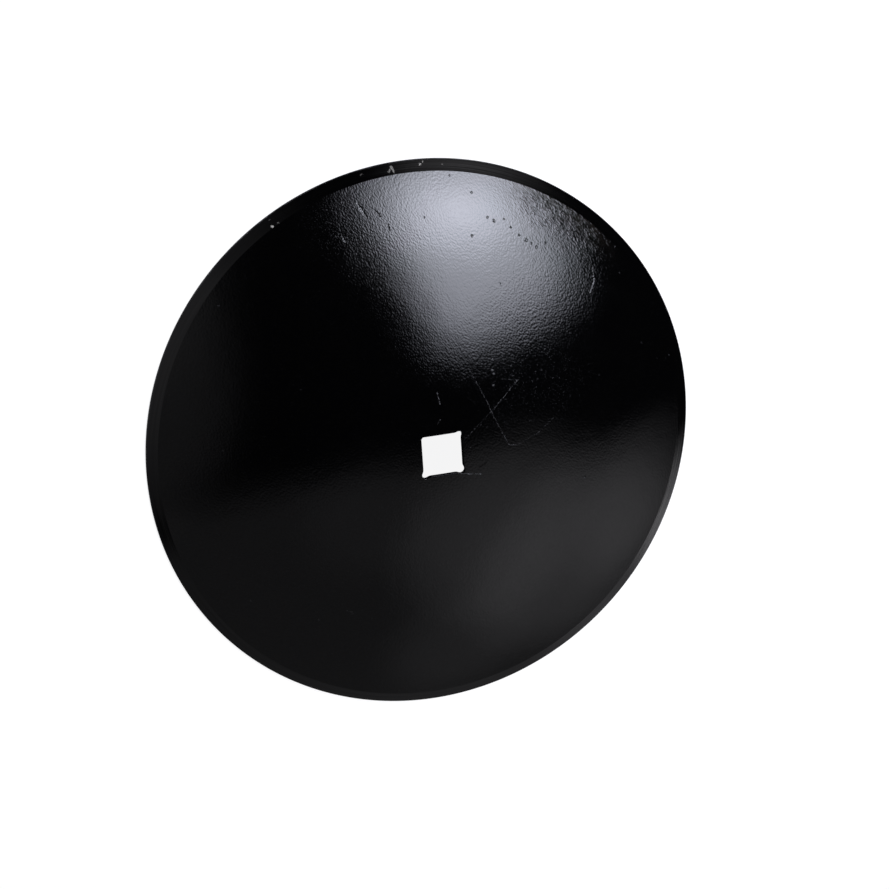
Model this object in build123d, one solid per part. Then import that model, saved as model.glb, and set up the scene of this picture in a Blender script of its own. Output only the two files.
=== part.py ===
from build123d import *
import os
from math import sqrt

# A plain dished harrow disc blade: one pressed and hardened steel plate. It lies on its rim with the
# hollow down, so +Z runs up its axis through the crown, and z = 0 is the plane of the cutting edge.

# The plate, in millimetres
blade_diameter = 560.0  # across the cutting rim
plate_thickness = 5.0
hollow_radius = 600.0  # spherical radius of the hollow side

# The edge, ground on the crowned side only
edge_land = 1.5  # height of the narrow face that the grinding leaves at the rim
bevel_reach = 10.3  # how far the ground cone runs in from the rim, seen from above

# The square hole for the gang axle, punched from the crowned side
hole_side = 41.0
ear_radius = 4.0  # rounded relief at each corner of the punch
ear_overhang = 1.5  # how far each relief stands out past the hole's flat walls
ear_blend_radius = 8.0  # soft shoulder between a relief and a wall
punch_roll = 0.4  # rolled-in lip where the punch entered
shear_depth = 2.2  # depth of the straight, sheared part of the walls at the corners, lip included
break_out_angle = 2.0  # flare in degrees of the torn part of the walls, towards the hollow side

# How far a cutting shape runs past the faces it cuts
cut_margin = 2.0

# The dish, worked out from the sizes above
rim_radius = blade_diameter / 2
crown_radius = hollow_radius + plate_thickness
sphere_centre_z = -sqrt(hollow_radius**2 - rim_radius**2)
hollow_top_z = sphere_centre_z + hollow_radius
crown_top_z = sphere_centre_z + crown_radius

# The hole's corners, worked out from the sizes above
ear_inset = ear_radius - ear_overhang  # from a wall in to the centre of a relief
ear_spacing = hole_side - 2 * ear_inset
hole_reach = ear_spacing / sqrt(2) + ear_radius  # from the axis to the tip of a relief


def height_on_sphere(sphere_radius, distance_from_axis):
    """Height of a sphere about the dish's centre, at a distance from the axis."""
    return sphere_centre_z + sqrt(sphere_radius**2 - distance_from_axis**2)


def point_on_sphere(sphere_radius, distance_from_axis):
    """Point of the half section on one of the two spheres."""
    return (distance_from_axis, height_on_sphere(sphere_radius, distance_from_axis))


def blade_section():
    """Half section in the X-Z plane: hollow arc, land, ground bevel and crowned arc."""
    bevel_start = rim_radius - bevel_reach
    with BuildSketch(Plane.XZ) as section:
        with BuildLine():
            hollow = ThreePointArc(
                (0, hollow_top_z),
                point_on_sphere(hollow_radius, rim_radius / 2),
                (rim_radius, 0),
            )
            land = Line(hollow @ 1, (rim_radius, edge_land))
            bevel = Line(land @ 1, point_on_sphere(crown_radius, bevel_start))
            crown = ThreePointArc(
                bevel @ 1,
                point_on_sphere(crown_radius, bevel_start / 2),
                (0, crown_top_z),
            )
            Line(crown @ 1, hollow @ 0)
        make_face()
    return section.sketch


def pressed_plate():
    """The dished plate with its ground edge, before the hole is punched."""
    return revolve(blade_section(), axis=Axis.Z)


def is_shoulder(corner):
    """Whether a corner of the hole's outline lies where a relief leaves a wall."""
    wall = hole_side / 2
    along = ear_spacing / 2 - sqrt(ear_radius**2 - ear_inset**2)
    near, far = sorted((abs(corner.X), abs(corner.Y)))
    return abs(far - wall) < 0.01 and abs(near - along) < 0.01


def punch_outline(height):
    """Square hole with a rounded, softly shouldered relief at each corner."""
    with BuildSketch(Plane.XY.offset(height)) as outline:
        Rectangle(hole_side, hole_side)
        with GridLocations(ear_spacing, ear_spacing, 2, 2):
            Circle(ear_radius)
        fillet(outline.vertices().filter_by(is_shoulder), radius=ear_blend_radius)
    return outline.sketch


def punched_slug():
    """What the punch removes: straight where it sheared, flared where it tore out."""
    shear_end_z = height_on_sphere(crown_radius, hole_reach) - shear_depth
    torn_depth = shear_end_z - height_on_sphere(hollow_radius, hole_reach)
    outline = punch_outline(shear_end_z)
    straight = extrude(outline, crown_top_z + cut_margin - shear_end_z)
    torn = extrude(outline, -(torn_depth + cut_margin), taper=-break_out_angle)
    return straight + torn


def rolled_lip(blade):
    """The blade with the hole's edge rolled in on the crowned side."""
    lowest_lip_z = height_on_sphere(crown_radius, hole_reach)
    lip = blade.edges().filter_by_position(Axis.Z, lowest_lip_z, crown_top_z)
    return fillet(lip.filter_by(lambda edge: edge.length < hole_side), radius=punch_roll)


def disc_blade():
    """The finished blade."""
    return rolled_lip(pressed_plate() - punched_slug())


os.makedirs("parts", exist_ok=True)
blade = disc_blade()
blade.label = "disc_blade"
export_step(blade, "parts/disc_blade.step")
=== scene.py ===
from collections import namedtuple
from math import cos, pi, radians, sin, sqrt, tan

import bpy
from bpy.props import (
    FloatProperty,
    FloatVectorProperty,
    IntProperty,
    PointerProperty,
)
from mathutils import Matrix, Quaternion, Vector


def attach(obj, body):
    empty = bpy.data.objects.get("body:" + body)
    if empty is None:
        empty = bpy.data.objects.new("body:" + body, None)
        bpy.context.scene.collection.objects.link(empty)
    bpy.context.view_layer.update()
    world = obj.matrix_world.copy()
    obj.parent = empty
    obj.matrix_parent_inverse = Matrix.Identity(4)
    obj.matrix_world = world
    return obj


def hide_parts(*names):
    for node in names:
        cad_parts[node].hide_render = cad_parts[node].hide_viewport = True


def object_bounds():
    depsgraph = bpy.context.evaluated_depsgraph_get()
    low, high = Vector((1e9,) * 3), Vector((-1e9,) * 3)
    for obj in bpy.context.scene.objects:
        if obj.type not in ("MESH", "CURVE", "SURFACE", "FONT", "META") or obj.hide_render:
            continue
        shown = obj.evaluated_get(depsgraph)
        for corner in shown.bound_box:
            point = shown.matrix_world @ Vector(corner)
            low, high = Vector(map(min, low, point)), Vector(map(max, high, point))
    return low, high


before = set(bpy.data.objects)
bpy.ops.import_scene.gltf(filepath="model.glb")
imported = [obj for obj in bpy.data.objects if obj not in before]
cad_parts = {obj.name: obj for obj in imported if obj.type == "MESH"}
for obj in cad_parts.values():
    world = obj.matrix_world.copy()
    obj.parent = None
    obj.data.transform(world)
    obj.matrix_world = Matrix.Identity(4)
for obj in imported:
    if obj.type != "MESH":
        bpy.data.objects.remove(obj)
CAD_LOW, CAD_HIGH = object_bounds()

bl_info = {
    "name": "Harrow disc blade",
    "version": (1, 0, 0),
    "blender": (4, 5, 0),
    "location": "3D View > Sidebar > Disc Blade",
    "description": "A dished harrow disc blade in gloss black paint, with its studio floor and light",
    "category": "Object",
}

NODE = "disc_blade"
BODY = "root"
PHOTO_SIDE = 889  # pixels along each side of the picture
SENSOR = 36.0  # millimetres along each side of the picture
MM = 0.001
RIM_RADIUS = max(CAD_HIGH.x, -CAD_LOW.x)


# Sizes and colours that a user would change


class BladeSizes(bpy.types.PropertyGroup):
    """Sizes of the blade."""

    rim_radius: FloatProperty(
        name="Rim radius", description="From the axis to the cutting rim",
        default=RIM_RADIUS, min=0.05, unit="LENGTH",
    )
    plate: FloatProperty(
        name="Plate", description="Thickness of the pressed plate",
        default=5 * MM, min=MM, unit="LENGTH",
    )
    hollow_radius: FloatProperty(
        name="Hollow radius", description="Spherical radius of the hollow side",
        default=600 * MM, min=0.1, unit="LENGTH",
    )
    land: FloatProperty(
        name="Land", description="Height of the narrow face left at the rim",
        default=1.5 * MM, min=0.1 * MM, unit="LENGTH",
    )
    bevel_reach: FloatProperty(
        name="Bevel reach", description="How far the ground cone runs in from the rim",
        default=11.1 * MM, min=MM, unit="LENGTH",
    )
    bevel_shift: FloatProperty(
        name="Bevel shift", description="How far off the blade's axis the bevel was ground",
        default=1.4 * MM, min=0.0, unit="LENGTH",
    )
    bevel_shift_azimuth: FloatProperty(
        name="Shift azimuth", description="Side of the blade on which the bevel is narrowest",
        default=radians(152.0), subtype="ANGLE",
    )
    bevel_wander: FloatProperty(
        name="Bevel wander", description="How far the hand-ground edge of the bevel strays",
        default=0.5 * MM, min=0.0, unit="LENGTH",
    )
    hole_side: FloatProperty(
        name="Hole side", description="Across the flat walls of the square hole",
        default=41 * MM, min=5 * MM, unit="LENGTH",
    )
    ear_radius: FloatProperty(
        name="Ear radius", description="Radius of the relief at each corner of the hole",
        default=4 * MM, min=0.5 * MM, unit="LENGTH",
    )
    ear_overhang: FloatProperty(
        name="Ear overhang", description="How far a relief stands out past the walls",
        default=1.5 * MM, min=0.0, unit="LENGTH",
    )
    ear_blend: FloatProperty(
        name="Ear blend", description="Radius of the hollow arc between a relief and a wall",
        default=8 * MM, min=MM, unit="LENGTH",
    )
    plain_corner: FloatProperty(
        name="Plain corner", description="How far a corner with no relief is rounded back",
        default=1.3 * MM, min=0.0, unit="LENGTH",
    )
    lip_roll: FloatProperty(
        name="Lip roll", description="Radius of the lip where the punch went in",
        default=0.4 * MM, min=0.1 * MM, unit="LENGTH",
    )
    steps_around: IntProperty(
        name="Steps around", description="Faces round the blade",
        default=720, min=72, max=960,
    )


class PaintLook(bpy.types.PropertyGroup):
    """Colour and finish of the paint."""

    colour: FloatVectorProperty(
        name="Paint", description="Colour of the black enamel",
        default=(0.0006, 0.0006, 0.0007), size=3, subtype="COLOR", min=0.0, max=1.0,
    )
    scuff_colour: FloatVectorProperty(
        name="Scuff", description="Colour of scraped and chalky paint",
        default=(0.05, 0.05, 0.052), size=3, subtype="COLOR", min=0.0, max=1.0,
    )
    film_colour: FloatVectorProperty(
        name="Film", description="Colour of the thin dirt over the runs near the bevel",
        default=(0.006, 0.005, 0.004), size=3, subtype="COLOR", min=0.0, max=1.0,
    )
    chip_colour: FloatVectorProperty(
        name="Chip", description="Colour of bare metal and primer in a chip",
        default=(0.55, 0.53, 0.48), size=3, subtype="COLOR", min=0.0, max=1.0,
    )
    roughness: FloatProperty(
        name="Roughness", description="Roughness of the glossy paint",
        default=0.08, min=0.0, max=1.0, subtype="FACTOR",
    )
    edge_roughness: FloatProperty(
        name="Edge roughness", description="Roughness of the thin paint on the ground bevel",
        default=0.13, min=0.0, max=1.0, subtype="FACTOR",
    )
    peel_height: FloatProperty(
        name="Peel", description="Height in millimetres of the finest ripples in the paint",
        default=0.12, min=0.0, precision=4,
    )
    swell_height: FloatProperty(
        name="Swell", description="Height in millimetres of the ripples a few millimetres wide",
        default=0.03, min=0.0, precision=4,
    )
    sag_height: FloatProperty(
        name="Sag", description="Height in millimetres of the broad waves in the plate and paint",
        default=0.35, min=0.0, precision=4,
    )
    run_height: FloatProperty(
        name="Runs", description="Height in millimetres of the slanting runs near the bevel",
        default=0.16, min=0.0, precision=4,
    )


class StudioLook(bpy.types.PropertyGroup):
    """Floor, light and camera."""

    floor_colour: FloatVectorProperty(
        name="Floor", description="Colour of the pale floor",
        default=(0.98, 0.98, 0.985), size=3, subtype="COLOR", min=0.0, max=1.0,
    )
    softbox_radiance: FloatProperty(
        name="Softbox", description="Brightness of the softbox away from its bulb",
        default=6.2, min=0.0,
    )
    softbox_bulb: FloatProperty(
        name="Bulb", description="Extra brightness where the softbox's bulb shows through",
        default=8.0, min=0.0,
    )
    camera_distance: FloatProperty(
        name="Camera distance", description="From the camera to the floor along its axis",
        default=3.7604, min=0.5, unit="LENGTH",
    )
    camera_tilt: FloatProperty(
        name="Camera tilt", description="Of the camera's axis from straight down",
        default=radians(23.56), subtype="ANGLE",
    )
    camera_azimuth: FloatProperty(
        name="Camera azimuth", description="Side of the blade on which the camera stands",
        default=radians(130.72), subtype="ANGLE",
    )
    camera_roll: FloatProperty(
        name="Camera roll", description="Turn of the camera about its own axis",
        default=radians(133.01), subtype="ANGLE",
    )
    focal_pixels: FloatProperty(
        name="Focal length", description="Focal length in pixels of the picture",
        default=3772.0, min=100.0,
    )


# Helpers for node trees


def shown_socket(sockets, name):
    """The socket with this name or number that the node uses in its present form."""
    if isinstance(name, int):
        return sockets[name]
    return next(socket for socket in sockets if socket.name == name and socket.enabled)


class Number:
    """A number in a node tree, ready for arithmetic."""

    def __init__(self, wire, socket):
        self.wire = wire
        self.socket = socket

    def __add__(self, other):
        return self.wire.math("ADD", self, other)

    def __sub__(self, other):
        return self.wire.math("SUBTRACT", self, other)

    def __rsub__(self, other):
        return self.wire.math("SUBTRACT", other, self)

    def __mul__(self, other):
        return self.wire.math("MULTIPLY", self, other)

    def __truediv__(self, other):
        return self.wire.math("DIVIDE", self, other)

    def __pow__(self, other):
        return self.wire.math("POWER", self, other)

    def __abs__(self):
        return self.wire.math("ABSOLUTE", self)


class Wiring:
    """Adds nodes to a tree and joins them up."""

    def __init__(self, tree):
        self.tree = tree

    def add(self, kind, inputs=None, **settings):
        """A node with its settings made and its inputs set or linked."""
        node = self.tree.nodes.new(kind)
        for name, value in settings.items():
            setattr(node, name, value)
        for name, value in (inputs or {}).items():
            self.feed(shown_socket(node.inputs, name), value)
        return node

    def feed(self, socket, value):
        """Links a socket to another, or sets its value."""
        if isinstance(value, Number):
            value = value.socket
        if isinstance(value, bpy.types.NodeSocket):
            self.tree.links.new(value, socket)
        else:
            socket.default_value = value

    def given(self):
        """The inputs of the tree itself, by name."""
        sockets = self.add("NodeGroupInput").outputs
        return {socket.name: Number(self, socket) for socket in sockets}

    def math(self, operation, *values, clamp=False):
        """One step of arithmetic."""
        node = self.add("ShaderNodeMath", dict(enumerate(values)), operation=operation)
        node.use_clamp = clamp
        return Number(self, node.outputs[0])

    def vector(self, operation, *values):
        """One step of vector arithmetic, with a vector result."""
        return self.add(
            "ShaderNodeVectorMath", dict(enumerate(values)), operation=operation
        ).outputs["Vector"]

    def measure(self, operation, *values):
        """One step of vector arithmetic, with a number as its result."""
        node = self.add("ShaderNodeVectorMath", dict(enumerate(values)), operation=operation)
        return Number(self, node.outputs["Value"])

    def scaled(self, vector, factor):
        """A vector times a number."""
        return self.add(
            "ShaderNodeVectorMath", {0: vector, "Scale": factor}, operation="SCALE"
        ).outputs["Vector"]

    def frame(self, vector, origin, turn, sizes):
        """A vector in a frame at an origin, turned about Z in degrees, with its own sizes."""
        return self.add(
            "ShaderNodeMapping",
            {"Vector": vector, "Location": origin, "Rotation": (0.0, 0.0, radians(turn)),
             "Scale": sizes},
            vector_type="TEXTURE",
        ).outputs["Vector"]

    def joined(self, x, y=0.0, z=0.0):
        """A vector from its parts."""
        return self.add("ShaderNodeCombineXYZ", {0: x, 1: y, 2: z}).outputs[0]

    def parts(self, vector):
        """The three parts of a vector."""
        return [Number(self, part) for part in self.add("ShaderNodeSeparateXYZ", {0: vector}).outputs]

    def ramp(self, value, low, high, start=0.0, end=1.0):
        """A smooth rise from start to end as the value goes from low to high."""
        node = self.add(
            "ShaderNodeMapRange",
            {"Value": value, "From Min": low, "From Max": high, "To Min": start, "To Max": end},
            interpolation_type="SMOOTHSTEP",
        )
        return Number(self, node.outputs["Result"])

    def noise(self, vector, scale, detail=2.0, roughness=0.5):
        """Soft noise from 0 to 1."""
        node = self.add(
            "ShaderNodeTexNoise",
            {"Vector": vector, "Scale": scale, "Detail": detail, "Roughness": roughness},
        )
        return Number(self, node.outputs[0])

    def mix(self, factor, first, second):
        """A colour between two colours."""
        node = self.add("ShaderNodeMix", {0: factor}, data_type="RGBA")
        self.feed(shown_socket(node.inputs, "A"), first)
        self.feed(shown_socket(node.inputs, "B"), second)
        return shown_socket(node.outputs, "Result")

    def highest(self, values):
        """The largest of several numbers, each made only when its turn comes."""
        values = iter(values)
        result = next(values)
        for value in values:
            result = self.math("MAXIMUM", result, value)
        return result


def empty_material(name):
    """A material with no nodes, and the wiring that fills it."""
    material = bpy.data.materials.new(name)
    material.use_nodes = True
    material.node_tree.nodes.clear()
    return material, Wiring(material.node_tree)


def opaque(colour):
    """A colour with its alpha."""
    return (*colour, 1.0)


# The blade's section and its shape

# Rows of points along each part of the half section
LIP_ROWS = 5
CROWN_ROWS = 58
BEVEL_ROWS = 5
HOLLOW_ROWS = 44
TORN_ROWS = 4
SHEARED_ROWS = 3
CROWN_GATHER = 1.25  # over 1, the crown's rows lie closer together near the hole
SHEARED_SHARE = 0.5  # of the plate's thickness, where the hole's walls are straight
TORN_FLARE = tan(radians(2.0))  # of the torn part of the hole's walls
ROUND_FROM = 3.6  # half sides of the hole, from where on the rows are round
WANDER_REACH = 45 * MM  # how far in from the bevel the rows follow its edge

# A point of the half section: its place, the radius of its sphere, and how far it follows the
# hole's outline, is ground, and follows the bevel's edge
Row = namedtuple(
    "Row", "distance height sphere follows_hole ground wanders", defaults=(0.0, 0.0, 0.0)
)


def sphere_height(sizes, radius, distance):
    """Height above the floor of a sphere about the dish's centre."""
    centre = -sqrt(sizes.hollow_radius**2 - sizes.rim_radius**2)
    return centre + sqrt(radius**2 - distance**2)


def stepped(first, last, count, gather=1.0):
    """Numbers from first to last, closer together near first if gather is over 1."""
    return [first + (last - first) * (i / count) ** gather for i in range(count + 1)]


def blade_section(sizes):
    """Rows of the half section in order round the plate.

    Rows on the crowned side have the crown's sphere. The last row lies on the first, so that
    the section closes.
    """
    half = sizes.hole_side / 2
    hollow = sizes.hollow_radius
    crown = hollow + sizes.plate
    rim = sizes.rim_radius
    bevel_start = rim - sizes.bevel_reach
    round_from = ROUND_FROM * half

    def near_hole(distance):
        share = min(1.0, max(0.0, (distance - half) / (round_from - half)))
        return 1.0 - share * share * (3 - 2 * share)

    def near_bevel(distance):
        share = min(1.0, max(0.0, (bevel_start - distance) / WANDER_REACH))
        return (1.0 - share) ** 2

    rows = []
    roll = sizes.lip_roll
    lip_centre = half + roll
    lip_height = sphere_height(sizes, crown, lip_centre) - roll
    for turn in stepped(pi, pi / 2, LIP_ROWS):
        spot = (lip_centre + roll * cos(turn), lip_height + roll * sin(turn))
        rows.append(Row(*spot, crown, 1.0))
    for distance in stepped(lip_centre, bevel_start, CROWN_ROWS, CROWN_GATHER)[1:]:
        height = sphere_height(sizes, crown, distance)
        rows.append(
            Row(distance, height, crown, near_hole(distance), wanders=near_bevel(distance))
        )
    rows[-1] = rows[-1]._replace(ground=1.0, wanders=1.0)
    start_height = rows[-1].height
    for share in stepped(0.0, 1.0, BEVEL_ROWS)[1:]:
        distance = bevel_start + share * sizes.bevel_reach
        height = start_height + share * (sizes.land - start_height)
        rows.append(Row(distance, height, crown, ground=1.0, wanders=1.0 - share))
    rows.append(Row(rim, sizes.land / 2, crown, ground=1.0))
    rows.append(Row(rim, 0.0, hollow, ground=1.0))
    shear_height = sphere_height(sizes, crown, half) - SHEARED_SHARE * sizes.plate
    exit_distance = half + TORN_FLARE * (shear_height - sphere_height(sizes, hollow, half))
    for distance in stepped(rim, exit_distance, HOLLOW_ROWS)[1:]:
        height = sphere_height(sizes, hollow, distance)
        rows.append(Row(distance, height, hollow, near_hole(distance)))
    exit_height = rows[-1].height
    for share in stepped(0.0, 1.0, TORN_ROWS)[1:]:
        distance = exit_distance + share * (half - exit_distance)
        height = exit_height + share * (shear_height - exit_height)
        rows.append(Row(distance, height, crown, 1.0))
    for height in stepped(shear_height, lip_height, SHEARED_ROWS)[1:]:
        rows.append(Row(half, height, crown, 1.0))
    return rows


def section_object(sizes):
    """The half section as a line of points that carries what each point follows."""
    rows = blade_section(sizes)
    mesh = bpy.data.meshes.new("blade_section")
    mesh.from_pydata(
        [(row.distance, 0.0, row.height) for row in rows],
        [(i, i + 1) for i in range(len(rows) - 1)],
        [],
    )
    crown = sizes.hollow_radius + sizes.plate
    carried = {name: [getattr(row, name) for row in rows] for name in Row._fields[2:]}
    carried["crowned"] = [float(row.sphere == crown) for row in rows]
    for name, values in carried.items():
        mesh.attributes.new(name, "FLOAT", "POINT").data.foreach_set("value", values)
    section = bpy.data.objects.new("blade_section", mesh)
    bpy.context.scene.collection.objects.link(section)
    return section


# Corners of the hole whose relief is missing or faint: azimuth, share that is missing
PLAIN_CORNERS = (
    (radians(135), 1.0),
    (radians(45), 0.4),
)
PLAIN_OUT_TO = radians(16)  # either side of such a corner's azimuth, with no relief at all
EARED_FROM = radians(22)  # either side of it, with the usual outline again
CORNER_ROUNDING = 0.6 * MM  # how softly a wall runs into a plain corner

GRINDING_SEED = 0.37
GRINDING_SCALE = 1.6  # about how many times the bevel's edge strays in and out, per radian
SEAM_GAP = 0.002 * MM  # points closer than this are joined
CRISP_FROM = radians(11)  # edges that bend more than this stay sharp

DISH_INPUTS = (
    ("Steps Around", "NodeSocketInt"),
    ("Half Side", "NodeSocketFloat"),
    ("Ear Radius", "NodeSocketFloat"),
    ("Ear Inset", "NodeSocketFloat"),
    ("Ear Blend", "NodeSocketFloat"),
    ("Plain Corner", "NodeSocketFloat"),
    ("Bevel Shift", "NodeSocketFloat"),
    ("Shift Azimuth", "NodeSocketFloat"),
    ("Bevel Wander", "NodeSocketFloat"),
    ("Grinding Seed", "NodeSocketFloat"),
    ("Paint", "NodeSocketMaterial"),
    ("Edge Paint", "NodeSocketMaterial"),
)


def hole_outline(wire, angle, half_side, ear_radius, ear_inset, ear_blend):
    """Distance from the axis to the hole's outline, with and without its ears.

    In one eighth of the hole the outline is the flat wall, then a hollow blend arc, then the
    ear's own arc. Along runs beside the wall, out runs away from the axis.
    """
    quarter = wire.math("MODULO", angle + 2.25 * pi, pi / 2)
    turn = abs(quarter - pi / 4)
    along, out = wire.math("SINE", turn), wire.math("COSINE", turn)

    def arc(centre_along, centre_out, radius, side):
        """Where a ray at this turn meets a circle, on its near or its far side."""
        ahead = centre_along * along + centre_out * out
        aside = centre_along * out - centre_out * along
        left = radius * radius - aside * aside
        half_chord = wire.math("SQRT", wire.math("MAXIMUM", left, 0.0))
        return wire.math(side, ahead, half_chord)

    ear_middle = half_side - ear_inset
    blend_out = half_side + ear_blend
    reach = ear_radius + ear_blend
    rise = blend_out - ear_middle
    run = wire.math("SQRT", reach * reach - rise * rise)
    blend_along = ear_middle - run
    share = ear_radius / reach
    wall_end = wire.math("ARCTAN2", blend_along, half_side)
    blend_end = wire.math("ARCTAN2", ear_middle - run * share, ear_middle + rise * share)
    wall = half_side / out
    blend = arc(blend_along, blend_out, ear_blend, "SUBTRACT")
    ear = arc(ear_middle, ear_middle, ear_radius, "ADD")
    in_blend = wire.math("GREATER_THAN", turn, wall_end)
    in_ear = wire.math("GREATER_THAN", turn, blend_end)
    return wall + in_blend * (blend - wall) + in_ear * (ear - blend), wall


def worn_outline(wire, facing, eared, wall, half_side, plain_corner):
    """The hole's outline with some of its ears missing, as far as the punch left them out."""
    rounded_tip = half_side * sqrt(2) - plain_corner
    plain = wire.math("SMOOTH_MIN", wall, rounded_tip, CORNER_ROUNDING)
    missing = None
    for azimuth, share in PLAIN_CORNERS:
        facing_corner = wire.measure("DOT_PRODUCT", facing, (cos(azimuth), sin(azimuth), 0.0))
        here = wire.ramp(facing_corner, cos(EARED_FROM), cos(PLAIN_OUT_TO)) * share
        missing = here if missing is None else missing + here
    return eared + missing * (plain - eared)


def dish_tree():
    """Node tree that turns the half section about Z and squares its middle to the hole."""
    tree = bpy.data.node_groups.new("dished_disc", "GeometryNodeTree")
    tree.interface.new_socket("Section", in_out="INPUT", socket_type="NodeSocketGeometry")
    for name, kind in DISH_INPUTS:
        tree.interface.new_socket(name, in_out="INPUT", socket_type=kind)
    tree.interface.new_socket("Blade", in_out="OUTPUT", socket_type="NodeSocketGeometry")
    wire = Wiring(tree)
    given = wire.given()
    section = given["Section"]
    rings = wire.add(
        "GeometryNodeAttributeDomainSize", {"Geometry": section}, component="MESH"
    ).outputs["Point Count"]
    row_length = given["Steps Around"] + 1.0
    grid = wire.add("GeometryNodeMeshGrid", {"Vertices X": rings, "Vertices Y": row_length})
    index = Number(wire, wire.add("GeometryNodeInputIndex").outputs["Index"])
    ring = wire.math("FLOOR", (index + 0.5) / row_length)
    step = index - ring * row_length
    angle = step / given["Steps Around"] * (2 * pi)
    cosine, sine = wire.math("COSINE", angle), wire.math("SINE", angle)

    def carried(name):
        """A number that the section carries, read at this ring."""
        named = wire.add(
            "GeometryNodeInputNamedAttribute", {"Name": name}, data_type="FLOAT"
        ).outputs["Attribute"]
        sample = wire.add(
            "GeometryNodeSampleIndex", {"Geometry": section, "Value": named, "Index": ring},
            data_type="FLOAT",
        )
        return Number(wire, sample.outputs[0])

    position = wire.add("GeometryNodeInputPosition").outputs[0]
    place = wire.add(
        "GeometryNodeSampleIndex", {"Geometry": section, "Value": position, "Index": ring},
        data_type="FLOAT_VECTOR",
    ).outputs[0]
    even_distance, _, even_height = wire.parts(place)
    eared, wall = hole_outline(
        wire, angle, given["Half Side"], given["Ear Radius"], given["Ear Inset"],
        given["Ear Blend"],
    )
    outline = worn_outline(
        wire, wire.joined(cosine, sine), eared, wall, given["Half Side"], given["Plain Corner"]
    )
    pull = carried("follows_hole") * (outline - given["Half Side"])
    direction = wire.joined(cosine, sine, given["Grinding Seed"])
    uneven = wire.noise(direction, GRINDING_SCALE, 3.0, 0.55) - 0.5
    off_centre = given["Bevel Shift"] * wire.math("COSINE", angle - given["Shift Azimuth"])
    stray = carried("wanders") * (off_centre + uneven * 2.0 * given["Bevel Wander"])
    distance = even_distance + pull + stray
    sphere = carried("sphere")
    square = sphere * sphere

    def drop(at):
        """How far a point of the sphere lies above its centre."""
        return wire.math("SQRT", square - at * at)

    height = even_height + (drop(distance) - drop(even_distance))
    point = wire.joined(distance * cosine, distance * sine, height)
    kept = grid.outputs["Mesh"]
    for name in ("ground", "crowned"):
        kept = wire.add(
            "GeometryNodeStoreNamedAttribute",
            {"Geometry": kept, "Name": name, "Value": carried(name)},
            data_type="FLOAT", domain="POINT",
        ).outputs[0]
    shaped = wire.add("GeometryNodeSetPosition", {"Geometry": kept, "Position": point})
    closed = wire.add(
        "GeometryNodeMergeByDistance", {"Geometry": shaped.outputs[0], "Distance": SEAM_GAP}
    )
    bend = wire.add("GeometryNodeInputMeshEdgeAngle").outputs["Unsigned Angle"]
    smooth = wire.add(
        "GeometryNodeSetShadeSmooth", {0: closed.outputs[0], "Shade Smooth": True}, domain="FACE"
    )
    crisp = wire.add(
        "GeometryNodeSetShadeSmooth",
        {0: smooth.outputs[0], "Selection": wire.math("GREATER_THAN", bend, CRISP_FROM),
         "Shade Smooth": False},
        domain="EDGE",
    )
    solid = wire.add("GeometryNodeRealizeInstances", {0: crisp.outputs[0]})
    painted = wire.add(
        "GeometryNodeSetMaterial", {0: solid.outputs[0], "Material": given["Paint"]}
    )
    is_ground = wire.add(
        "GeometryNodeInputNamedAttribute", {"Name": "ground"}, data_type="FLOAT"
    ).outputs["Attribute"]
    edge = wire.add(
        "GeometryNodeSetMaterial",
        {0: painted.outputs[0], "Material": given["Edge Paint"],
         "Selection": wire.math("GREATER_THAN", is_ground, 0.999)},
    )
    wire.add("NodeGroupOutput", {"Blade": edge.outputs[0]})
    return tree


def made_plain(carrier, name):
    """The carrier's finished shape as a plain mesh object; the carrier goes."""
    graph = bpy.context.evaluated_depsgraph_get()
    mesh = bpy.data.meshes.new_from_object(carrier.evaluated_get(graph))
    mesh.name = name
    bpy.data.objects.remove(carrier)
    piece = bpy.data.objects.new(name, mesh)
    bpy.context.scene.collection.objects.link(piece)
    return piece


# Paint

# Marks on the crowned side, in millimetres in the blade's frame seen from above.
# Scratches: from, to, width of the line, how plainly it shows
SCRATCHES = {
    "long scratch, start": ((33, 82), (49, 47), 0.55, 0.55),
    "long scratch, middle": ((49, 47), (56, 28), 0.6, 0.8),
    "long scratch, end": ((56, 28), (69, -1), 0.55, 0.65),
    "hook of the long scratch": ((69, -1), (77, -3), 0.8, 0.6),
    "tail past the hook": ((77, -3), (101, 5), 0.6, 0.3),
    "faint tail": ((101, 5), (119, 17), 0.6, 0.35),
    "crossing scratch, start": ((83, 62), (56, 38), 0.6, 0.65),
    "crossing scratch, end": ((56, 38), (24, 13), 0.6, 0.35),
    "bar above the crossing": ((66, 66), (85, 62), 0.5, 0.35),
    "line from the hole's corner": ((18, -22), (38, -26), 0.7, 0.85),
    "nick above the hole": ((-1, 63), (1, 51), 0.8, 0.9),
    "faint tick low on the left, first": ((-101, -155), (-96, -157), 0.9, 0.35),
    "faint tick low on the left, second": ((-97, -159), (-92, -158), 0.8, 0.3),
    "nick beside the hole": ((-3, 32), (0, 36), 0.8, 0.6),
}
# Gouges with a raised lip: from, to, width
GOUGES = {
    "long gouge": ((-53, 248), (-47, 235), 1.9),
    "short gouge": ((-73, 220), (-71, 215), 1.0),
    "first hook beside the long gouge": ((-38, 240), (-33, 234), 1.5),
    "second hook beside the long gouge": ((-27, 226), (-27, 221), 1.5),
    "hair by the bevel, upper half": ((179, 153), (179, 141), 1.1),
    "hair by the bevel, lower half": ((179, 141), (173, 131), 1.2),
}
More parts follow.
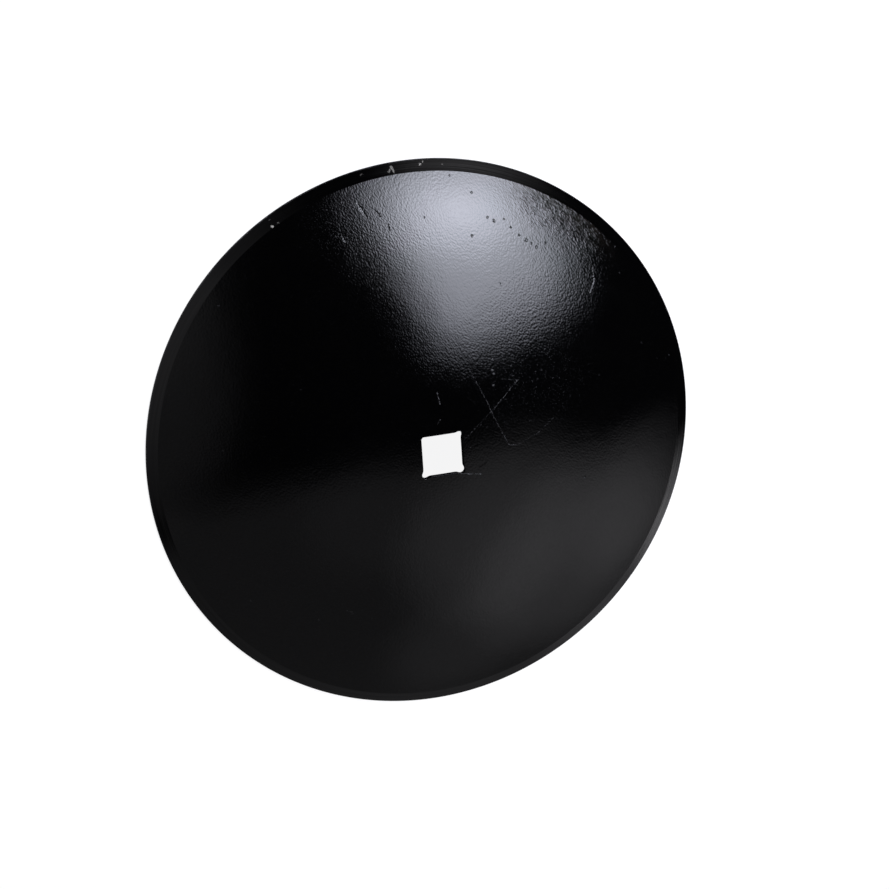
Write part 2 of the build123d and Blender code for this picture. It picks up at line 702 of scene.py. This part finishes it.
# Small deep pits: place, radius
PITS = {
    "pit by the bevel": ((43, 262), 1.1),
    "upper pit": ((62, 244), 1.0),
    "row of pits, first": ((74, 219), 1.2),
    "row of pits, second": ((80, 215), 1.6),
    "row of pits, third": ((91, 215), 0.9),
    "row of pits, fourth": ((97, 206), 1.0),
    "row of pits, fifth": ((104, 198), 1.2),
    "row of pits, sixth": ((111, 192), 1.6),
    "row of pits, seventh": ((116, 188), 1.1),
    "row of pits, eighth": ((121, 184), 1.5),
    "pit past the row": ((131, 186), 1.1),
    "pit with a bright side": ((55, 205), 1.5),
    "pit in the lower light": ((77, 157), 0.9),
    "left pit": ((10, 228), 0.9),
    "far dent": ((151, -52), 1.6),
}
# Specks of dust and overspray under the gloss: place, radius, how plainly it shows
SPECKS = {
    "cluster, top": ((59, 87), 1.5, 1.0),
    "cluster, upper": ((58, 76), 1.7, 1.0),
    "cluster, lower": ((59, 72), 1.6, 1.0),
    "cluster, bottom": ((57, 61), 1.8, 0.9),
    "right of the cluster": ((110, 67), 1.4, 0.4),
    "lower right of the cluster": ((105, 59), 1.3, 0.3),
    "upper right, first": ((204, 173), 1.3, 0.6),
    "upper right, second": ((209, 167), 1.2, 0.5),
    "upper right, third": ((210, 142), 1.4, 0.5),
    "right, first": ((227, 69), 1.3, 0.35),
    "right, second": ((260, 48), 1.2, 0.45),
    "right, third": ((255, 46), 1.0, 0.35),
    "right, fourth": ((244, 49), 1.0, 0.35),
    "below the light": ((142, 99), 1.4, 0.5),
    "between the horizon and the light": ((174, 49), 1.3, 0.3),
    "beside the hole": ((29, 3), 1.3, 0.4),
    "beside the hole, farther": ((41, 24), 1.3, 0.35),
    "beside the hole, farthest": ((47, 21), 1.2, 0.35),
    "lower left": ((-193, -135), 1.6, 0.35),
    "lower middle": ((-128, -162), 1.6, 0.35),
    "left of the light": ((-132, 81), 1.3, 0.25),
    "left, near the bevel": ((-198, 165), 1.2, 0.4),
    "left, in the grey": ((-210, 26), 1.2, 0.3),
    "below the hole": ((-35, -134), 1.3, 0.35),
    "left of the gouges, upper": ((-68, 251), 1.2, 0.7),
    "left of the gouges, middle": ((-71, 239), 1.1, 0.6),
    "left of the gouges, lower": ((-79, 220), 1.1, 0.5),
}
# Chips and rubs on the bevel: from, to, width, how plainly it shows
EDGE_CHIPS = {
    "brightest chip": ((-137, 234), (-137, 234), 1.7, 1.0),
    "chip outside it": ((-138, 240), (-138, 240), 1.1, 0.12),
    "chip beside it": ((-131, 237), (-131, 237), 1.2, 0.15),
    "chip farther down": ((-154, 215), (-154, 215), 1.3, 0.4),
    "ragged chip, left": ((-14, 275), (-17, 272), 1.1, 0.25),
    "ragged chip, right": ((-13, 276), (-12, 272), 1.5, 0.4),
    "rub left of the fork": ((-45, 272), (-43, 273), 1.0, 0.15),
    "small chip at the top": ((16, 275), (16, 275), 1.3, 0.6),
    "smaller chip at the top": ((19, 277), (19, 277), 1.1, 0.5),
    "chip past the top": ((38, 272), (38, 272), 1.2, 0.25),
    "pale chip on the left": ((-262, 60), (-262, 60), 1.3, 0.3),
}
# A dull dent beside the hole: from, to, width
DULL_DENT = ((36, -19), (44, -15), 1.7)

# How far the middle of each mark stands above the paint, in millimetres
GOUGE_HEIGHT = -0.3
PIT_HEIGHT = -0.3
PIT_RIM_HEIGHT = 0.07
SWIRL_HEIGHT = 0.012
CHIP_HEIGHT = -0.15

# Round fields seen from above: middle, distance at which one begins, distance at which it is full
FULLER_COAT = ((118, 150), 95, 20)
THINNER_COAT = ((-10, 150), 70, 20)
BELOW_THE_LIGHT = ((60, 190), 130, 230)
RUNS = ((158, 208), 82, 20)
DUST = ((98, 74), 85, 15)
DUST_BY_THE_GOUGES = ((-74, 232), 42, 12)
SWIRL_OUTSIDE = ((51, 230), 20, 14)
SWIRL_INSIDE = ((51, 230), 9, 14)
BRIGHT_BAND = ((45, 271), 85, 35)

# Way in which ripples run, in degrees, and their sizes along, across and through it
PEEL_WAY = -65
PEEL_SIZES = (2.2 * MM, 1.5 * MM, 1.8 * MM)
RUNS_WAY = -50
WAVE_SIZES = (13.0, 5.0, 1.0)
CREASE_SIZES = (8.0, 3.0, 1.0)

SHAKE = 3.0  # millimetres from side to side by which the marks are crooked
SHAKE_GRAIN = 1.6 * MM
PIT_SPREAD = 1.3  # of a pit's radius, out to the end of its rim


def stroke_group():
    """Node group: how near a point is to a straight stroke, from 0 outside to 1 on it."""
    tree = bpy.data.node_groups.new("stroke", "ShaderNodeTree")
    for name in ("Point", "From", "To"):
        tree.interface.new_socket(name, in_out="INPUT", socket_type="NodeSocketVector")
    tree.interface.new_socket("Width", in_out="INPUT", socket_type="NodeSocketFloat")
    tree.interface.new_socket("Near", in_out="OUTPUT", socket_type="NodeSocketFloat")
    wire = Wiring(tree)
    given = wire.given()
    run = wire.vector("SUBTRACT", given["To"], given["From"])
    off = wire.vector("SUBTRACT", given["Point"], given["From"])
    run_squared = wire.measure("DOT_PRODUCT", run, run) + 1e-6
    share = wire.math("DIVIDE", wire.measure("DOT_PRODUCT", off, run), run_squared, clamp=True)
    away = wire.measure("DISTANCE", off, wire.scaled(run, share))
    wire.add("NodeGroupOutput", {"Near": wire.ramp(away, given["Width"], 0.0)})
    return tree


class Canvas:
    """Where a paint's marks are drawn, in millimetres across the blade seen from above."""

    def __init__(self, wire, group):
        self.wire = wire
        self.group = group
        self.place = wire.add("ShaderNodeTexCoord").outputs["Object"]
        self.point = wire.vector("MULTIPLY", self.place, (1 / MM, 1 / MM, 0.0))
        self.from_axis = wire.measure("LENGTH", self.point)
        self.crooked = self.shaken_point()

    def shaken_point(self):
        """The point moved a little this way and that, so that marks drawn with it are crooked."""
        wire = self.wire
        shake = wire.add(
            "ShaderNodeTexNoise", {"Vector": self.place, "Scale": 1 / SHAKE_GRAIN, "Detail": 1.0}
        ).outputs["Color"]
        centred = wire.vector("SUBTRACT", shake, (0.5, 0.5, 0.5))
        aside = wire.vector("MULTIPLY", centred, (SHAKE, SHAKE, 0.0))
        return wire.vector("ADD", self.point, aside)

    def grains(self, size, detail=2.0):
        """Soft noise from 0 to 1 with grains of a size in millimetres."""
        return self.wire.noise(self.place, 1 / (size * MM), detail)

    def field(self, middle, begins, full, start=0.0, end=1.0):
        """A soft round field, from start to end between two distances from its middle."""
        away = self.wire.measure("DISTANCE", self.point, (*middle, 0.0))
        return self.wire.ramp(away, begins, full, start, end)

    def spot(self, middle, radius):
        """How near a point is to a place, from 0 at the radius to 1 on it."""
        away = self.wire.measure("DISTANCE", self.crooked, (*middle, 0.0))
        return self.wire.ramp(away, radius, 0.0)

    def stroke(self, start, end, width):
        """How near a point is to a straight stroke, from 0 at its width to 1 on it."""
        node = self.wire.add(
            "ShaderNodeGroup",
            {"Point": self.crooked, "From": (*start, 0.0), "To": (*end, 0.0), "Width": width},
            node_tree=self.group,
        )
        return Number(self.wire, node.outputs[0])

    def strokes(self, marks):
        """How plainly any of several strokes shows."""
        return self.wire.highest(
            self.stroke(start, end, width) * plain for start, end, width, plain in marks.values()
        )


def coat_ripples(canvas, look, below, runs_here):
    """Height in millimetres of the coat's orange peel, broad waves and slanting runs."""
    wire = canvas.wire
    grain = wire.frame(canvas.place, (0.0, 0.0, 0.0), PEEL_WAY, PEEL_SIZES)
    fuller = canvas.field(*FULLER_COAT, 0.0, 0.6)
    thinner = canvas.field(*THINNER_COAT, 0.0, -0.4)
    coat = fuller + thinner + below * -0.35 + 1.0
    peel = wire.noise(grain, 1.0, 0.5) * coat * look.peel_height
    swell = canvas.grains(6) * look.swell_height
    sag = canvas.grains(55) * look.sag_height
    wave_place = wire.frame(canvas.point, (0.0, 0.0, 0.0), RUNS_WAY, WAVE_SIZES)
    wave = wire.noise(wave_place, 1.0, 2.0, 0.6)
    crease_place = wire.frame(canvas.point, (0.0, 0.0, 0.0), RUNS_WAY, CREASE_SIZES)
    wrinkle = wire.noise(crease_place, 1.0, 1.0)
    crease = wire.ramp(abs(wrinkle - 0.5), 0.13, 0.0)
    torn = wire.ramp(wire.noise(canvas.point, 1 / 9.0, 1.0), 0.42, 0.54)
    by_bevel = wire.ramp(canvas.from_axis, 225, 255)
    runs = (wave + crease * torn * by_bevel) * runs_here * look.run_height
    return peel + swell + sag + runs


def with_dents(canvas, crowned, ripples):
    """The coat's height with the gouges, pits and the swirl pressed or raised in it."""
    wire = canvas.wire
    swirl = canvas.field(*SWIRL_OUTSIDE) * canvas.field(*SWIRL_INSIDE)
    gouges = wire.highest(canvas.stroke(*gouge) for gouge in GOUGES.values()) * crowned
    pits = wire.highest(
        canvas.spot(middle, PIT_SPREAD * radius) for middle, radius in PITS.values()
    ) * crowned
    rim = wire.ramp(pits, 0.0, 0.12) - wire.ramp(pits, 0.12, 0.35)
    hollow = wire.ramp(pits, 0.25, 0.9)
    pressed = ripples + swirl * SWIRL_HEIGHT + gouges * GOUGE_HEIGHT
    return pressed + rim * PIT_RIM_HEIGHT + hollow * PIT_HEIGHT


def scuffs(canvas, crowned):
    """How plainly scratches, specks and dust show, from 0 to about 1."""
    wire = canvas.wire
    broken = wire.ramp(wire.noise(canvas.point, 0.3, 1.5), 0.38, 0.62, 0.2, 1.25)
    scratches = canvas.strokes(SCRATCHES) * broken * crowned
    specks = wire.highest(
        canvas.spot(middle, radius) * plain for middle, radius, plain in SPECKS.values()
    ) * crowned
    dusty = canvas.field(*DUST, 0.05, 0.5) + canvas.field(*DUST_BY_THE_GOUGES, 0.0, 0.36)
    patchy = wire.ramp(canvas.grains(7, 1.0), 0.4, 0.65, 0.35, 1.0)
    dust = wire.ramp(canvas.grains(1.2, 0.0), 0.65, 0.8) * patchy * dusty * crowned
    return wire.highest([scratches, specks * 0.9, dust])


def coat_gloss(canvas, film, below):
    """Specular level of the coat: less in the film, on the hole's lip and in the dull dent."""
    wire = canvas.wire
    x, y, _ = wire.parts(wire.vector("ABSOLUTE", canvas.point))
    lip = wire.ramp(wire.math("MAXIMUM", x, y), 21.8, 21.0)
    dulled = film * 0.2 + lip * 0.35 + canvas.stroke(*DULL_DENT) * 0.3
    mottle = (canvas.grains(2.2, 1.0) - 0.5) * below * 0.16
    return wire.math("ADD", 0.5 - dulled, mottle, clamp=True)


def finished(material, wire, inputs, height):
    """The material with its shader, bumped by a height in millimetres."""
    bump = wire.add("ShaderNodeBump", {"Strength": 1.0, "Distance": MM, "Height": height})
    shader = wire.add("ShaderNodeBsdfPrincipled", {**inputs, "Normal": bump.outputs["Normal"]})
    wire.add("ShaderNodeOutputMaterial", {"Surface": shader.outputs[0]})
    return material


def gloss_black_paint(look, group):
    """Sprayed black enamel on pressed steel: orange peel, runs, pits, scratches and specks."""
    material, wire = empty_material("gloss_black_paint")
    canvas = Canvas(wire, group)
    crowned = Number(
        wire, wire.add("ShaderNodeAttribute", attribute_name="crowned").outputs["Fac"]
    )
    below = canvas.field(*BELOW_THE_LIGHT)
    runs_here = canvas.field(*RUNS)
    ripples = coat_ripples(canvas, look, below, runs_here)
    height = with_dents(canvas, crowned, ripples)
    scuffed = scuffs(canvas, crowned)
    film_patches = wire.ramp(wire.noise(canvas.point, 1 / 8.0, 2.0), 0.4, 0.6, 0.3, 1.0)
    film = runs_here * wire.ramp(canvas.from_axis, 244, 264) * film_patches
    filmed = wire.mix(film, opaque(look.colour), opaque(look.film_colour))
    colour = wire.mix(scuffed, filmed, opaque(look.scuff_colour))
    haze = wire.ramp(canvas.grains(35, 3.0), 0.35, 0.75, -0.01, 0.03)
    dull = wire.math("ADD", look.roughness, haze)
    roughness = wire.math("ADD", dull, scuffed * 0.4, clamp=True)
    gloss = coat_gloss(canvas, film, below)
    inputs = {"Base Color": colour, "Roughness": roughness, "Specular IOR Level": gloss}
    return finished(material, wire, inputs, height)


def ground_edge_paint(look, group):
    """Thin paint over the ground bevel, with the grinder's lines showing round it."""
    material, wire = empty_material("ground_edge_paint")
    canvas = Canvas(wire, group)
    across = canvas.from_axis
    around = wire.vector("NORMALIZE", canvas.point)
    track = wire.vector("ADD", wire.joined(across * 0.7), wire.scaled(around, 3.0))
    chips = canvas.strokes(EDGE_CHIPS)
    lines = wire.noise(track, 1.0, 3.0, 0.6) * 0.2
    height = lines + canvas.grains(2.2) * 0.03 + chips * CHIP_HEIGHT
    rim = RIM_RADIUS / MM
    patchy = wire.ramp(canvas.grains(22, 3.0), 0.35, 0.65, 0.15, 1.0)
    rubbed = wire.ramp(across, rim - 0.9, rim - 0.1) * patchy
    worn = wire.mix(rubbed, opaque(look.colour), opaque(look.scuff_colour))
    colour = wire.mix(chips, worn, opaque(look.chip_colour))
    uneven = wire.ramp(wire.noise(track, 0.6, 2.0), 0.3, 0.7, 0.8, 1.2)
    roughness = wire.math("MULTIPLY", uneven, look.edge_roughness, clamp=True)
    band_middle = 275.2
    band = wire.ramp(abs(across - band_middle), 2.8, 1.0) * canvas.field(*BRIGHT_BAND)
    gloss = band * 0.2 + 0.3 + wire.noise(track, 0.8) * 0.35
    inputs = {"Base Color": colour, "Roughness": roughness, "Specular IOR Level": gloss}
    return finished(material, wire, inputs, height)


class BLADE_OT_make_disc(bpy.types.Operator):
    """Make the dished, ground and punched blade in its black paint"""

    bl_idname = "disc_blade.make_disc"
    bl_label = "Make Disc"

    def execute(self, context):
        sizes = context.scene.blade_sizes
        look = context.scene.paint_look
        group = stroke_group()
        carrier = section_object(sizes)
        modifier = carrier.modifiers.new("dished_disc", "NODES")
        modifier.node_group = dish_tree()
        ear_inset = sizes.ear_radius - sizes.ear_overhang
        values = {
            "Steps Around": sizes.steps_around,
            "Half Side": sizes.hole_side / 2,
            "Ear Radius": sizes.ear_radius,
            "Ear Inset": ear_inset,
            "Ear Blend": sizes.ear_blend,
            "Plain Corner": sizes.plain_corner,
            "Bevel Shift": sizes.bevel_shift,
            "Shift Azimuth": sizes.bevel_shift_azimuth,
            "Bevel Wander": sizes.bevel_wander,
            "Grinding Seed": GRINDING_SEED,
            "Paint": gloss_black_paint(look, group),
            "Edge Paint": ground_edge_paint(look, group),
        }
        for socket in modifier.node_group.interface.items_tree:
            if socket.in_out == "INPUT" and socket.name in values:
                modifier[socket.identifier] = values[socket.name]
        blade = made_plain(carrier, "harrow_disc")
        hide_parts(NODE)
        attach(blade, BODY)
        return {"FINISHED"}


# Studio


def toward(azimuth, zenith):
    """Unit vector at an azimuth from +X and an angle from straight up, in degrees."""
    turn, lean = radians(azimuth), radians(zenith)
    return Vector((sin(lean) * cos(turn), sin(lean) * sin(turn), cos(lean)))


def pale_floor(look):
    """A pale floor that glows a little, as a lit table does, so that its shadows are faint."""
    reach = 40.0
    drop = -0.3 * MM
    mesh = bpy.data.meshes.new("pale_floor")
    mesh.from_pydata(
        [(-reach, -reach, drop), (reach, -reach, drop), (reach, reach, drop), (-reach, reach, drop)],
        [], [(0, 1, 2, 3)],
    )
    material, wire = empty_material("pale_floor")
    glow = 0.92
    shader = wire.add(
        "ShaderNodeBsdfPrincipled",
        {"Base Color": opaque([0.2 * c for c in look.floor_colour]), "Roughness": 0.9,
         "Specular IOR Level": 0.0, "Emission Color": opaque(look.floor_colour),
         "Emission Strength": glow},
    )
    wire.add("ShaderNodeOutputMaterial", {"Surface": shader.outputs[0]})
    mesh.materials.append(material)
    floor = bpy.data.objects.new("pale_floor", mesh)
    bpy.context.scene.collection.objects.link(floor)
    floor.visible_glossy = False


def softbox(look):
    """A soft oval light on a stand, brightest where its bulb is, fading towards its low end."""
    distance = 2.0
    along = toward(45, 40)
    aside = Vector((sin(radians(45)), -cos(radians(45)), 0.0))
    down = along.cross(aside)
    left, right, top, bottom = -0.6, 0.65, -0.65, 0.6
    corners = ((left, top), (right, top), (right, bottom), (left, bottom))
    mesh = bpy.data.meshes.new("softbox")
    mesh.from_pydata(
        [distance * (along + aside * x + down * y) for x, y in corners], [], [(0, 1, 2, 3)]
    )
    layer = mesh.uv_layers.new(name="face")
    for loop, corner in zip(layer.data, corners):
        loop.uv = corner
    material, wire = empty_material("softbox")
    face = wire.add("ShaderNodeUVMap", uv_map="face").outputs[0]
    x, y, _ = wire.parts(wire.frame(face, (-0.025, 0.012, 0.0), 62, (0.365, 0.44, 1.0)))
    power = 4.0
    inside = wire.ramp((abs(x) ** power + abs(y) ** power) ** (1 / power), 1.2, 0.46)
    bulb = wire.frame(face, (-0.09, 0.035, 0.0), 34, (0.155, 0.097, 1.0))
    off_bulb = wire.measure("DOT_PRODUCT", bulb, wire.vector("MULTIPLY", bulb, (1.0, 1.0, 0.0)))
    hot = wire.math("EXPONENT", off_bulb * -0.5) * look.softbox_bulb
    light = wire.add(
        "ShaderNodeEmission",
        {"Color": (0.93, 0.965, 1.11, 1.0), "Strength": inside * (hot + look.softbox_radiance)},
    )
    clear = wire.add("ShaderNodeBsdfTransparent")
    both = wire.add("ShaderNodeAddShader", {0: clear.outputs[0], 1: light.outputs[0]})
    wire.add("ShaderNodeOutputMaterial", {"Surface": both.outputs[0]})
    mesh.materials.append(material)
    box = bpy.data.objects.new("softbox", mesh)
    bpy.context.scene.collection.objects.link(box)
    box.visible_camera = False
    box.visible_shadow = False


# Dim things round the studio, seen only as reflections: azimuth, angle from straight up, spread
# in degrees to where each one ends, brightness
SOFT_LIGHTS = {
    "spill round the softbox": (45, 40, 27, 0.45),
    "spill below the softbox": (54, 60, 28, 0.62),
    "lit wall on the right": (-53, 45, 23, 0.275),
    "lit wall, lower": (-46, 62, 23, 0.31),
    "lit wall, lowest": (-34, 69, 16, 0.21),
    "lit wall, towards the front": (-71, 64, 15, 0.11),
    "bright card low on the right": (-33.5, 109, 11, 0.75),
    "faint light beside the card": (-46, 112, 16, 0.15),
    "glow low on the left": (152, 75, 50, 0.16),
    "pale spot in front": (-87, 29, 17, 0.047),
}


def studio_surroundings():
    """A dark studio with grey walls for reflections, and a pale backdrop for the camera."""
    world = bpy.data.worlds.new("studio")
    bpy.context.scene.world = world
    world.use_nodes = True
    wire = Wiring(world.node_tree)
    world.node_tree.nodes.clear()
    way = wire.vector("NORMALIZE", wire.add("ShaderNodeTexCoord").outputs["Generated"])

    def patch(azimuth, zenith, spread, brightness):
        """A soft round patch of light."""
        facing = wire.measure("DOT_PRODUCT", way, toward(azimuth, zenith))
        return wire.ramp(facing, cos(radians(spread)), 1.0, 0.0, brightness)

    def wall(facing, start, end, brightness):
        """Everything past a soft line across the studio."""
        facing = Vector(facing).normalized()
        return wire.ramp(wire.measure("DOT_PRODUCT", way, facing), start, end, 0.0, brightness)

    front_wall = wall((0.05, -0.96, 0.26), 0.5, 0.645, 0.123)
    left_wall = wall((-0.87, 0.055, 0.485), 0.745, 0.89, 0.12)
    ambient = 0.005
    grey = front_wall + left_wall + ambient
    for light in SOFT_LIGHTS.values():
        grey = grey + patch(*light)
    studio = wire.add(
        "ShaderNodeBackground", {"Color": (1.0, 0.985, 1.03, 1.0), "Strength": grey}
    )
    backdrop = wire.add(
        "ShaderNodeBackground", {"Color": (0.97, 0.97, 0.98, 1.0), "Strength": 0.97}
    )
    seen = wire.add("ShaderNodeLightPath").outputs["Is Camera Ray"]
    choice = wire.add(
        "ShaderNodeMixShader", {0: seen, 1: studio.outputs[0], 2: backdrop.outputs[0]}
    )
    wire.add("ShaderNodeOutputWorld", {"Surface": choice.outputs[0]})


def photo_camera(look):
    """The camera at the photo's viewing angle, looking down on the crowned side."""
    tilt, azimuth = look.camera_tilt, look.camera_azimuth
    back = Vector((sin(tilt) * cos(azimuth), sin(tilt) * sin(azimuth), cos(tilt)))
    level_up = (Vector((0, 0, 1)) - back * back.z).normalized()
    up = Quaternion(back, look.camera_roll) @ level_up
    right = up.cross(back)
    aim = Vector((23.41 * MM, -14.09 * MM, 0.0))
    place = aim + back * look.camera_distance
    camera = bpy.data.objects.new("photo_camera", bpy.data.cameras.new("photo_camera"))
    camera.data.sensor_width = SENSOR
    camera.data.lens = look.focal_pixels / PHOTO_SIDE * SENSOR
    camera.data.clip_end = 200.0
    axes = Matrix((right, up, back)).transposed()
    camera.matrix_world = Matrix.Translation(place) @ axes.to_4x4()
    bpy.context.scene.collection.objects.link(camera)
    bpy.context.scene.camera = camera


class BLADE_OT_make_stage(bpy.types.Operator):
    """Make the pale floor, the soft light and the camera"""

    bl_idname = "disc_blade.make_stage"
    bl_label = "Make Stage"

    def execute(self, context):
        look = context.scene.studio_look
        pale_floor(look)
        softbox(look)
        studio_surroundings()
        photo_camera(look)
        context.scene.view_settings.view_transform = "Standard"
        return {"FINISHED"}


class BLADE_PT_tools(bpy.types.Panel):
    """Tools that make the blade and its stage"""

    bl_label = "Disc Blade"
    bl_idname = "BLADE_PT_tools"
    bl_space_type = "VIEW_3D"
    bl_region_type = "UI"
    bl_category = "Disc Blade"

    def draw(self, context):
        for group in ("blade_sizes", "paint_look", "studio_look"):
            owner = getattr(context.scene, group)
            box = self.layout.box()
            for name in owner.__annotations__:
                box.prop(owner, name)
        self.layout.operator(BLADE_OT_make_disc.bl_idname)
        self.layout.operator(BLADE_OT_make_stage.bl_idname)


CLASSES = (
    BladeSizes,
    PaintLook,
    StudioLook,
    BLADE_OT_make_disc,
    BLADE_OT_make_stage,
    BLADE_PT_tools,
)


def register():
    for item in CLASSES:
        bpy.utils.register_class(item)
    bpy.types.Scene.blade_sizes = PointerProperty(type=BladeSizes)
    bpy.types.Scene.paint_look = PointerProperty(type=PaintLook)
    bpy.types.Scene.studio_look = PointerProperty(type=StudioLook)


def unregister():
    del bpy.types.Scene.blade_sizes
    del bpy.types.Scene.paint_look
    del bpy.types.Scene.studio_look
    for item in reversed(CLASSES):
        bpy.utils.unregister_class(item)


def main():
    register()
    bpy.ops.disc_blade.make_disc()
    bpy.ops.disc_blade.make_stage()


if __name__ == "__main__":
    main()
